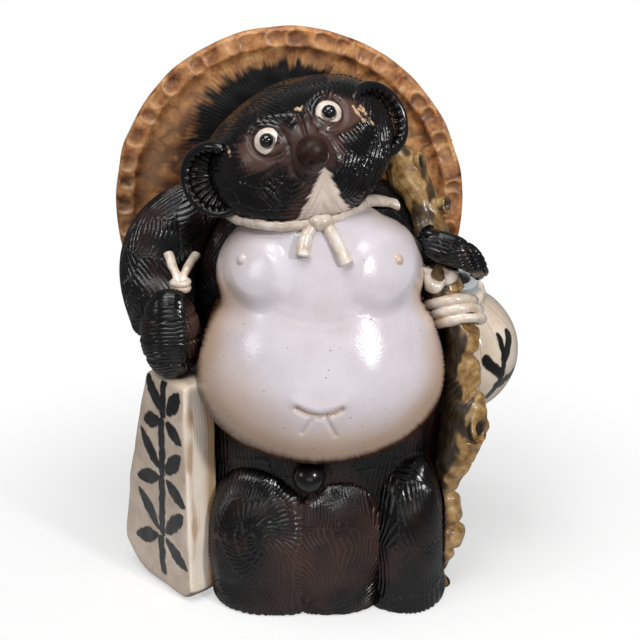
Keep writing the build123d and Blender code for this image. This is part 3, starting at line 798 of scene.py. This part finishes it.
calm = 1 - 0.75 * eased((14 - np.hypot(np.abs(a) - EYE_ASIDE, b - EYE_UP)) / 3) * face
calm *= 1 - 0.8 * eased((16 - np.hypot(a, b + 2)) / 3) * eased((f - 55) / 8)
calm *= (1 - chin) * (1 - 0.95 * eased((soft - 0.45) / 0.25))
comb(head, head_flow, patch=27, depth=1.15, turn=12, seed=23, calm=calm)
place = points(head)[0]
brown = np.maximum(np.maximum(mask, rusty), chin)
chips = np.zeros(len(place))
for corners, width in (
    (((38, 12), (39, 5), (41, 0)), 0.8),
    (((43, 10), (44, 4), (45, -4)), 0.7),
    (((40, 9), (43, 6)), 0.5),
    (((4, 25.5), (6.4, 24.6), (8, 25)), 0.9),
    (((-44.5, 21), (-45.5, 15)), 0.6),
):
    chips = np.maximum(chips, brushed(place, a, b, corners, width, 1.1, 2.5, 31, 0.6) * (f > 0))
mark(head, "warm", np.clip(brown + 0.12 * fuzz(place, 12, 8), 0, 1))
mark(head, "chip", chips)
mark(head, "chin", chin)
glazed(head, fur)

nose = clay("button_nose", ("nose",), 0.45, 4)
place, normal = points(nose)
a, b = local(place, HEAD_CENTRE, HEAD_AXES)[:2]
lift = 0.35 * fuzz(place, 7, 2)
for side in (-1, 1):
    lift -= 1.6 * bump(np.hypot(a - side * 5.2, b + 8) / 1.9)
place += normal * lift[:, None]
middle = place.mean(axis=0)
press(nose, middle + 0.8 * (place - middle) - 1.5 * HEAD_AXES[2])
mark(nose, "warm", np.clip(0.55 + 0.5 * fuzz(place, 6, 3), 0, 1))
glazed(nose, snout)

for name, side, ear_seat in (("right", -1, (-60, 5, 20)), ("left", 1, (50, -3, 34))):
    ring = clay(name + "_eye_ring", (name + "_eye_white",), 0.32, 3)
    place = points(ring)[0]
    a, b = local(place, HEAD_CENTRE, HEAD_AXES)[:2]
    reach = np.hypot(a - side * EYE_ASIDE, b - EYE_UP)
    edge = eased((reach - 7.4 - 0.8 * fuzz(place, 3, 4)) / 1.2)
    mark(ring, "soot_and_shade", np.maximum(edge, eased((5.4 - reach) / 0.8) * 0.8))
    glazed(ring, white)
    pupil = clay(name + "_pupil_bead", (name + "_pupil",), 0.3, 3)
    glazed(pupil, black)

    ear = clay(name + "_ear_cup", (name + "_ear",), 0.5, 4)
    place, normal = points(ear)
    look = HEAD_AXES[2] * cos(radians(34)) + HEAD_AXES[0] * side * sin(radians(34))
    seat = HEAD_CENTRE + np.array(ear_seat) @ np.array(HEAD_AXES)
    a, b = local(place, seat, (HEAD_AXES[1], np.cross(look, HEAD_AXES[1]), look))[:2]
    reach = np.hypot(a, b)
    turn = np.arctan2(b, a)
    cup = eased((21 - reach) / 2) * eased((reach - 5) / 6)
    ribs = 0.5 + 0.5 * np.cos(turn * 24 + 1.5 * fuzz(place, 9, 6))
    rim = 0.6 * eased((reach - 20) / 3)
    lifted(ear, place, normal, -1.4 * cup * ribs**2 + 0.5 * fuzz(place, 9, 7) + rim)
    mark(ear, "groove", cup * ribs)
    mark(ear, "warm", np.clip(0.35 * cup + 0.3 * fuzz(place, 8, 9), 0, 1))
    glazed(ear, jet)

# Hat: the step inside the band softened, finger dents of uneven depth with a lip at one side
hat = clay("hat_face", ("hat_underside",), 1.0, 16)
parted(hat, -1, 0.45, 6)
place, normal = points(hat)
a, b = local(place, HAT_CENTRE, HAT_AXES)[:2]
step = (np.abs(np.hypot(a, b) - HAT_RADIUS + HAT_BAND) < 9) & (normal @ HAT_AXES[2] > 0)
hat.vertex_groups.new(name="step").add(np.flatnonzero(step).tolist(), 1.0, "REPLACE")
applied(hat, "SMOOTH", factor=0.5, iterations=60, vertex_group="step")
hat.vertex_groups.clear()
place, normal = points(hat)
a, b, f = local(place, HAT_CENTRE, HAT_AXES)
reach = np.hypot(a, b)
turn = np.arctan2(b, a)
band = eased((reach - HAT_RADIUS + HAT_BAND - 1) / 3)
ahead = eased((normal @ HAT_AXES[2] + 0.1) / 0.3)
level = np.clip(-f, 0, 2.8) * band * (reach < HAT_RADIUS - 2.5)
place += np.outer(ahead * level, HAT_AXES[2])
random = np.random.default_rng(5)
dent = np.zeros(len(place))
lip = np.zeros(len(place))
for number in range(DENTS):
    middle = (number + random.uniform(-0.28, 0.28)) * 2 * pi / DENTS
    aside = ((turn - middle + pi) % (2 * pi) - pi) * DENT_CIRCLE / random.uniform(3.6, 5.8)
    inward = (reach - random.uniform(DENT_CIRCLE - 1.5, DENT_CIRCLE + 1.5)) / random.uniform(4.0, 6.0)
    radius = np.hypot(aside, inward)
    dent = np.maximum(dent, bump(radius**2 * 0.8) * random.uniform(0.5, 1.0))
    facing = np.cos(np.arctan2(inward, aside) - random.uniform(-0.6, 0.6))
    lip = np.maximum(lip, bump((radius - 1.35) / 0.22) * eased(facing) * random.uniform(0.3, 1.0))
dent, lip = dent * band, lip * band
lift = 1.0 * lip - 2.2 * dent + 0.45 * fuzz(place, 9, 14) * band + 0.5 * fuzz(place, 22, 15)
lift += 0.3 * fuzz(place, 6, 16) * (1 - band)
place += np.outer(ahead * lift, HAT_AXES[2])
edge = eased((reach - HAT_RADIUS + 8) / 8)
squeeze = -edge * (0.8 + 0.8 * fuzz(place, 18, 17)) / np.maximum(reach, 1)
place += np.outer(a * squeeze, HAT_AXES[0]) + np.outer(b * squeeze, HAT_AXES[1])

# Its colours: fur painted round the head, dark veins, a worn band, painted shade and painted light
gap = distance(place, ("head", "right_ear", "left_ear"), 40)
head_a, head_b = local(place, HEAD_CENTRE, HEAD_AXES)[:2]
ray = np.arctan2(head_b, head_a)
strand = strands(ray * FRINGE_GIRTH / 2.4, gap / 12, 21)
strand += 0.5 * strands(ray * FRINGE_GIRTH / 1.5, gap / 12, 22)
wide = 13 + 4 * np.cos(ray - 2.3) + 4 * fuzz(place, 14, 23) + 2 * fuzz(place, 4, 20)
fringe = eased((wide + 4 * strand - gap) / 8.0)
groove = 0.5 + 0.5 * np.cos(ray * FRINGE_GIRTH * 2 * pi / PITCH + 2.0 * fuzz(place, 10, 24))
place -= np.outer(0.6 * groove * eased((24 - gap) / 8), HAT_AXES[2])
press(hat, place)
streaks = strands(turn * 90 / 5, reach / 26, 25) + 0.5 * fuzz(place, 5, 29)
blot = fuzz(place, 24, 27) + 0.7 * fuzz(place, 9, 30) + 0.5 * streaks
vein = fuzz(place, 17, 27) + 0.6 * fuzz(place, 7, 30) + 0.3 * streaks
vein = eased((0.34 - np.abs(vein)) / 0.34) * eased(0.55 + 0.6 * fuzz(place, 34, 26))
stain_and_shade = 0.12 * bump((reach - HAT_RADIUS + HAT_BAND + 1.5) / 2.2)
stain_and_shade += 0.95 * vein + 0.35 * eased((blot - 0.2) / 0.5) + 0.45 * eased((26 - gap) / 16)
# Painted shade darkens the left of the hat, and painted light keeps its top pale
stain_and_shade += (0.50 * eased((-a - 30) / 50) - 0.30 * eased((b - 55) / 30)) * (0.8 + 0.4 * streaks)
# Wear on the band, and a painted highlight on the lips of the dents
wear_and_light = band * (0.15 + 0.9 * lip + 0.4 * fuzz(place, 7, 28))
# Painted light: a pale ring just inside the band, where the rim shades the hat
wear_and_light += 0.5 * bump((reach - 100) / 9) * (1 - band)
mark(hat, "fringe", fringe)
# The dents are darkened with painted shade
mark(hat, "stain_and_shade", np.clip(stain_and_shade * (1 - 0.35 * band) + 0.5 * dent, 0, 1))
mark(hat, "wear_and_light", np.clip(wear_and_light, 0, 1))
glazed(hat, straw)

crown = clay("hat_crown_shell", ("hat_crown",), 1.3, 3)
parted(crown, 1, 0.35, 8)
place, normal = points(crown)
a, b = local(place, HAT_CENTRE, HAT_AXES)[:2]
turns = np.hypot(a, b) * 2 * pi / CROWN_RING
lift = 0.5 * np.cos(turns + 0.8 * fuzz(place, 20, 2)) + 0.6 * fuzz(place, 14, 3) + 0.3 * fuzz(place, 5, 4)
lifted(crown, place, normal, lift - 0.8)
mark(crown, "stain_and_shade", np.clip(0.7 * eased((fuzz(place, 30, 5) - 0.1) / 0.4), 0, 1))
mark(crown, "wear_and_light", np.clip(0.3 + 0.3 * np.cos(turns), 0, 1))
glazed(crown, straw)

# Cords: rolled coils; the flask's is wound on round the staff, the book's strings are wrapped at the foot
for name in (
    "chin_cord_right",
    "chin_cord_left",
    "bow_knot",
    "bow_tail_right",
    "bow_tail_left",
    "flask_loop",
    "flask_cord",
    "book_string",
):
    cord = clay(name + "_coil", (name,), 0.42, 3)
    if name == "flask_cord":
        wound(cord, "staff", (95, -46, 200), (-6, 14, 27), 2.6, 6.6, 4.2)
    if name == "book_string":
        place = points(cord)[0]
        share = (place[:, 2] - place[:, 2].min()) / np.ptp(place[:, 2])
        aside = np.sign(place[:, 0] - place[:, 0].mean())
        place[:, 0] -= aside * 3.2 * eased((0.75 - share) / 0.6)
        foot = place[share < 0.1].mean(axis=0)
        press(cord, place)
        for rise in (2.5, 6.0):
            bpy.ops.mesh.primitive_torus_add(
                location=(foot + (0, 0, rise)) / MM,
                major_radius=0.0052,
                minor_radius=0.0021,
                major_segments=48,
                minor_segments=16,
                generate_uvs=False,
            )
            joined(cord)
    place, normal = points(cord)
    swell = 0.5
    if name == "flask_loop":
        swell = 1.1
    if name == "flask_cord":
        swell = 0.3 + 0.9 * fuzz(place, 11, 8)
    if name == "book_string":
        swell = 0.2
    if name == "chin_cord_left":
        place -= np.outer(eased((place[:, 0] - 18) / 48), (-2, 8.0, 6.5))
    lifted(cord, place, normal, swell + 0.45 * fuzz(place, 6, 2) + 0.2 * fuzz(place, 2.5, 3))
    # Painted shade: the cord is darkened in the creases where it meets the fur, the hands and the staff
    gap = distance(place, ("head", "body_front", "right_arm", "right_fist", "left_arm", "staff"), 3)
    mark(cord, "soot_and_shade", eased((1.2 + 0.8 * fuzz(place, 3, 5) - gap) / 1.0))
    if name == "flask_cord":
        mark(cord, "blue", eased((fuzz(place, 8, 6) - 0.1 - (place[:, 2] - 205) / 20) / 0.4))
    glazed(cord, cream)

# Arms: combed along; the left hand is slimmer and has finger grooves
right_arm = clay("fur_right_arm", ("right_arm",), 0.85, 4)
limb = along(((-70, 8, 275), (-93, 4, 262), (-109, -3, 238), (-111, -16, 214), (-106, -38, 199)))
comb(right_arm, limb, patch=34, depth=1.0, turn=24, seed=41)
furred(right_arm, 0.1)

fist = clay("fur_right_fist", ("right_fist",), 0.6, 4)
comb(fist, steady(1, -0.3, 0.25), patch=60, depth=0.6, turn=10, seed=44, pitch=HAND_PITCH)
place = points(fist)[0]
furred(fist, 0.7 * bump((place[:, 0] - place[:, 0].max() + 4) / 4))

left_arm = clay("fur_left_arm", ("left_arm",), 0.55, 4)
place, normal = points(left_arm)
fingers = (place @ np.array((0.81, 0.46, 0.37)) / 8 + 0.3) % 1 - 0.5
grip = 2.0 * bump(fingers * 8 / 1.3) * eased((place[:, 0] - 90) / 8)
place -= (3.0 + grip)[:, None] * normal
place[:, 2] += 0.5 * np.clip(238 - place[:, 2], 0, 30) + 2
press(left_arm, place)
limb = along(
    ((68, -42, 258), (79, -51, 255), (92, -54, 251), (104, -49, 241), (108, -41, 227), (106, -35, 217))
)
comb(left_arm, limb, patch=34, depth=0.85, turn=16, seed=47, pitch=HAND_PITCH)
furred(left_arm, -0.15)

# Book: wavy walls, leaves at the front edge, a brush-painted bamboo on the cover
book = clay("account_book_block", ("account_book",), 0.9, 240)
place, normal = points(book)
run = np.array((cos(BOOK_TURN), -sin(BOOK_TURN), 0))
out = np.array((-sin(BOOK_TURN), -cos(BOOK_TURN), 0))
u, v, thick = (place - BOOK_CORNER) @ run, place[:, 2], (place - BOOK_CORNER) @ out
cover = eased((normal @ out - 0.6) / 0.2)
leaf = eased((normal @ run - 0.35) / 0.3)
sheet = np.cos(thick * 2 * pi / 2.4 + 1.2 * fuzz(place, 20, 7))
lifted(book, place, normal, 1.1 * fuzz(place, 26, 2) + 0.2 * fuzz(place, 7, 3) + 0.10 * leaf * sheet)
ink = np.zeros(len(place))
for corners in (
    ((-33, 16), (-34, 40)),
    ((-33, 47), (-31, 88)),
    ((-30, 95), (-27, 134)),
    ((-26, 141), (-24, 164)),
):
    ink = np.maximum(ink, brushed(place, u, v, corners, 4.2, 1.2, 4, 4, 0.9))
for start_u, start_v, tip_u, tip_v in (
    (-37, 42, -68, 30),
    (-36, 46, -62, 72),
    (-29, 43, -4, 26),
    (-29, 47, -6, 70),
    (-34, 90, -62, 80),
    (-32, 95, -55, 122),
    (-26, 90, -3, 76),
    (-26, 95, -6, 116),
    (-29, 136, -50, 128),
    (-27, 141, -45, 166),
    (-22, 136, -4, 124),
    (-21, 141, -6, 162),
):
    run_u, run_v = tip_u - start_u, tip_v - start_v
    length = np.hypot(run_u, run_v)
    share = ((u - start_u) * run_u + (v - start_v) * run_v) / length**2
    width = 6.4 * np.sin(pi * np.clip(share, 0, 1)) ** 0.6
    gap = np.abs((u - start_u) * run_v - (v - start_v) * run_u) / length
    blade = eased((width - gap + 0.9 * fuzz(place, 3, 5)) / 0.9)
    ink = np.maximum(ink, blade * (share > 0) * (share < 1))
edge = eased((0.25 - np.abs(normal @ run)) / 0.2) * (u > -3.2) * (cover < 0.1)
ochre = strands(thick / 5, v / 60, 8) + 0.6 * fuzz(place, 12, 9)
ochre = 0.8 * eased((ochre - 0.1) / 0.8) + bump((thick - thick.min() - 5) / 5)
mark(book, "ink", ink * cover)
mark(book, "leaf", np.maximum(leaf, edge))
mark(book, "ochre", leaf * np.clip(ochre, 0, 1))
# Painted shade: faces that look down get a darker, greyer beige
mark(book, "under", eased((-normal[:, 2] - 0.3) / 0.3))
# Darker at the foot
mark(book, "soot_and_shade", eased((1.5 + 0.8 * fuzz(place, 12, 6) - 0.35 * np.minimum(v, 8)) / 2) * 0.6)
glazed(book, paper)

# Flask: faint facets, a brush sprig, pale drips under the neck
flask = clay("sake_flask", ("flask",), 0.9, 4)
opened(flask, FLASK_CENTRE, -8)
place, normal = points(flask)
a, b, f = local(place, FLASK_CENTRE, FLASK_AXES)
reach = np.hypot(a, b)
turn = np.arctan2(b, a)
facet = np.abs(((turn * 7 / pi + 0.4 * fuzz(place, 30, 2)) % 1) - 0.5)
crease = -0.5 * eased((0.06 - facet) / 0.06) * (f < FLASK_SHOULDER)
lifted(flask, place, normal, crease + 0.35 * fuzz(place, 20, 3))
front_u = (turn + 0.74) * 47
front_v = f - 10
ink = np.zeros(len(place))
for corners, width in (
    (((-15, -21), (-3, -5), (4, 20)), 3.2),
    (((-4, -5), (-17, 11)), 4.4),
    (((1, 6), (17, 16)), 4.4),
    (((-8, -12), (13, -14)), 4.2),
):
    ink = np.maximum(ink, brushed(place, front_u, front_v, corners, width, 0.8, 4, 4, 0.8))
# Brown facet lines, and the glaze darker towards the bottom
soot_and_shade = 0.7 * eased((0.05 - facet) / 0.05) + 0.5 * eased((-f - 18) / 20)
mark(flask, "ink", ink * (f < FLASK_SHOULDER) * (reach > 20))
mark(flask, "soot_and_shade", np.clip(soot_and_shade, 0, 1) * 0.7)
mark(flask, "blue", eased((f - 46 + 9 * strands(turn * 5, f / 30, 7)) / 6))
glazed(flask, porcelain)

# Staff: lumps, notches at the outer edge and bark drawn along; painted shade inside, dark cut stubs
staff = clay("gnarled_staff", ("staff",), 0.85, 4)
place, normal = points(staff)
lumps = 2.4 * fuzz(place, 17, 2) + 1.0 * fuzz(place, 7, 6)
notch = np.abs(np.sin(place[:, 2] * pi / 25 + 1.2 * fuzz(place, 30, 7)))
lumps -= 4.0 * bump(notch / 0.35) * eased((normal[:, 0] + 0.2) / 0.7) * (place[:, 2] < 225)
lifted(staff, place, normal, lumps)
stick = along(
    (
        (86, -50, 0),
        (88, -51, 65),
        (100, -51, 126),
        (97.5, -49, 180),
        (94, -45, 205),
        (76, -24, 250),
        (62, -2, 288),
        (50, 8, 307),
    )
)
comb(staff, stick, patch=50, depth=0.3, turn=16, seed=53, pitch=BARK_PITCH)
place, normal = points(staff)
z = place[:, 2]
gap = distance(place, ("body_front", "belly", "left_leg", "left_arm"), 9)
blotch = fuzz(place, 13, 9) + 0.6 * fuzz(place, 5, 10)
# Painted shade: darker on the side that faces the figure and close to the body, leg and arm
shade = eased((0.12 - normal[:, 0] + 0.35 * blotch) / 0.4)
soot_and_shade = eased((14 - z + 5 * fuzz(place, 8, 3)) / 8) * 0.5
for dark in (
    eased((4 + 3 * fuzz(place, 9, 4) - gap) / 5),
    bump((z - 254) / 12) * 0.95,
    0.85 * eased((blotch + 0.15) / 0.5) * eased((z - 228) / 10),
    0.95 * shade * eased((236 - z) / 10),
):
    soot_and_shade = np.maximum(soot_and_shade, dark)
for tip, aim in (
    ((111, -64, 130), (11, -12, 8)),
    ((88, -20, 277), (18, -8, 5)),
    ((70, -4, 303), (14, -6, 6)),
):
    aim = np.array(aim) / np.linalg.norm(aim)
    offset = place - np.array(tip)
    radial = np.linalg.norm(offset - np.outer(offset @ aim, aim), axis=1)
    pit = eased((6.5 - radial) / 2.5) * (np.abs(offset @ aim) < 3) * (normal @ aim > 0.5)
    place -= np.outer(2.5 * pit, aim)
    soot_and_shade = np.maximum(soot_and_shade, pit)
press(staff, place)
mark(staff, "soot_and_shade", soot_and_shade)
glazed(staff, bark)

# Foot: pouch whose two lobes are combed in fans, knob, leg and tail
pouch = clay("fur_pouch", ("pouch",), 0.75, 8)
place, normal = points(pouch)
valley = bump((place[:, 0] + 14) / 13) * eased((98 - place[:, 2]) / 16)
place[:, 1] -= 4.5 * valley * eased(-normal[:, 1] / 0.5)
press(pouch, settled(place, normal, 5, 24))
place = points(pouch)[0]
x, y, z = place.T
split = x + 12 + 5 * np.sin(z / 19) + 4 * fuzz(place, 15, 3)
bent = 0.16 * fuzz(place, 28, 4) + 0.04 * fuzz(place, 11, 5)
across = np.zeros(len(place))
border = np.abs(split)
for lobe, (root_x, root_z), curl, rings in (
    (split < 0, (-42, 60), 0.55, (7, 14, 28, 56)),
    (split >= 0, (-6, 12), -0.45, (14, 28, 56, 112)),
):
    reach = np.hypot(x - root_x, z - root_z) + 0.12 * (y + 70)
    fan = np.arctan2(z - root_z, x - root_x) + curl * np.log(np.maximum(reach, 5) / 20) + bent
    ragged = reach * (1 + 0.22 * fuzz(place, 8, 6))
    count = np.full(len(place), 2 * pi * rings[0] / PITCH).round()
    for ring in rings:
        count = np.where(ragged > ring, np.round(2 * pi * ring * 1.5 / PITCH), count)
        border = np.where(lobe, np.minimum(border, np.abs(ragged - ring) + 0.35), border)
    across = np.where(lobe, fan * count * PITCH / (2 * pi), across)
combed(pouch, across, border, 1.0, 61)
place = points(pouch)[0]
x, z = place[:, 0], place[:, 2]
rust = bump(np.hypot(x + 8, (z - 45) / 1.6) / 24) + bump(np.hypot(x - 40, z - 55) / 24)
mark(pouch, "warm", np.clip(0.05 + 0.75 * rust + 0.3 * fuzz(place, 14, 5), 0, 1))
glazed(pouch, fur)

knob = clay("pouch_knob_ball", ("pouch_knob",), 0.45, 4)
mark(knob, "warm", 0.1)
glazed(knob, jet)

leg = clay("fur_left_leg", ("left_leg",), 0.8, 6)
place, normal = points(leg)
place[:, 0] -= 4.5 * eased((-normal[:, 0] - 0.1) / 0.5)
press(leg, settled(place, normal, 5, 24))
comb(leg, steady(0.05, 0, -1), patch=44, depth=0.95, turn=7, seed=71)
furred(leg, 0.1)

tail = clay("fur_tail", ("tail",), 0.95, 4)
comb(tail, steady(0, 0, -1), patch=40, depth=0.9, turn=12, seed=73)
furred(tail, 0.15)

# Studio: pale floor that fades out, soft boxes, camera where the photograph was taken; metres
bpy.ops.mesh.primitive_plane_add(size=3, location=(0, 0, 0))
floor = bpy.context.object
floor.name = "studio_floor"
floor_paint = bpy.data.materials.new("white_studio_floor")
floor_paint.use_nodes = True
tree = floor_paint.node_tree
tree.nodes.clear()
spot = node(tree, "TexCoord").outputs["Object"]
away = node(tree, "VectorMath", (0, spot), operation="LENGTH").outputs["Value"]
fade = node(
    tree,
    "MapRange",
    ("Value", away),
    ("From Min", 0.16),
    ("From Max", 0.42),
    interpolation_type="SMOOTHSTEP",
)
card = node(tree, "BsdfDiffuse", ("Color", hexed("#c4c4c4")))
glow = node(tree, "Emission", ("Color", hexed("#ffffff")), ("Strength", 0.48))
lit = node(tree, "AddShader", (0, card.outputs[0]), (1, glow.outputs[0]))
eye = node(tree, "LightPath").outputs["Is Camera Ray"]
seen = node(tree, "MixShader", (0, eye), (1, card.outputs[0]), (2, lit.outputs[0]))
clear = node(tree, "BsdfTransparent")
blend = node(tree, "MixShader", (0, fade.outputs[0]), (1, seen.outputs[0]), (2, clear.outputs[0]))
node(tree, "OutputMaterial", ("Surface", blend.outputs[0]))
floor.data.materials.append(floor_paint)


def softbox(name, place, aim, width, height, power):
    """Rectangular studio light."""
    light = bpy.data.lights.new(name, "AREA")
    light.shape = "RECTANGLE"
    light.size = width
    light.size_y = height
    light.energy = power
    lamp = bpy.data.objects.new(name, light)
    bpy.context.collection.objects.link(lamp)
    lamp.location = place
    lamp.rotation_euler = (Vector(aim) - Vector(place)).to_track_quat("-Z", "Y").to_euler()


softbox("key_softbox", (1.05, -1.15, 0.95), (0, 0, 0.2), 0.17, 0.17, 12.5)
softbox("top_softbox", (-0.10, -0.40, 1.6), (0, 0, 0.2), 1.1, 0.5, 10.5)
softbox("strip_softbox", (-0.50, -0.90, 1.40), (0, 0, 0.25), 0.6, 0.15, 4.6)
softbox("front_softbox", (0.1, -1.6, 0.3), (0, 0, 0.25), 1.0, 0.5, 2.0)
softbox("left_softbox", (-1.6, -0.9, 0.9), (0, 0, 0.2), 0.34, 0.34, 3.6)

scene = bpy.context.scene
world = bpy.data.worlds.new("studio_white")
scene.world = world
world.use_nodes = True
sky = world.node_tree
sky.nodes.clear()
eye = node(sky, "LightPath").outputs["Is Camera Ray"]
grey = node(sky, "Background", ("Color", hexed("#ffffff")), ("Strength", 0.17))
plain = node(sky, "Background", ("Color", hexed("#ffffff")), ("Strength", 1.0))
seen = node(sky, "MixShader", (0, eye), (1, grey.outputs[0]), (2, plain.outputs[0]))
node(sky, "OutputWorld", ("Surface", seen.outputs[0]))

camera = bpy.data.objects.new("photo_camera", bpy.data.cameras.new("photo_camera"))
bpy.context.collection.objects.link(camera)
camera.location = CAMERA_PLACE
camera.rotation_euler = (Vector(CAMERA_AIM) - Vector(CAMERA_PLACE)).to_track_quat("-Z", "Y").to_euler()
camera.data.lens = CAMERA_LENS
camera.data.sensor_width = 36
scene.camera = camera
scene.view_settings.view_transform = "Standard"
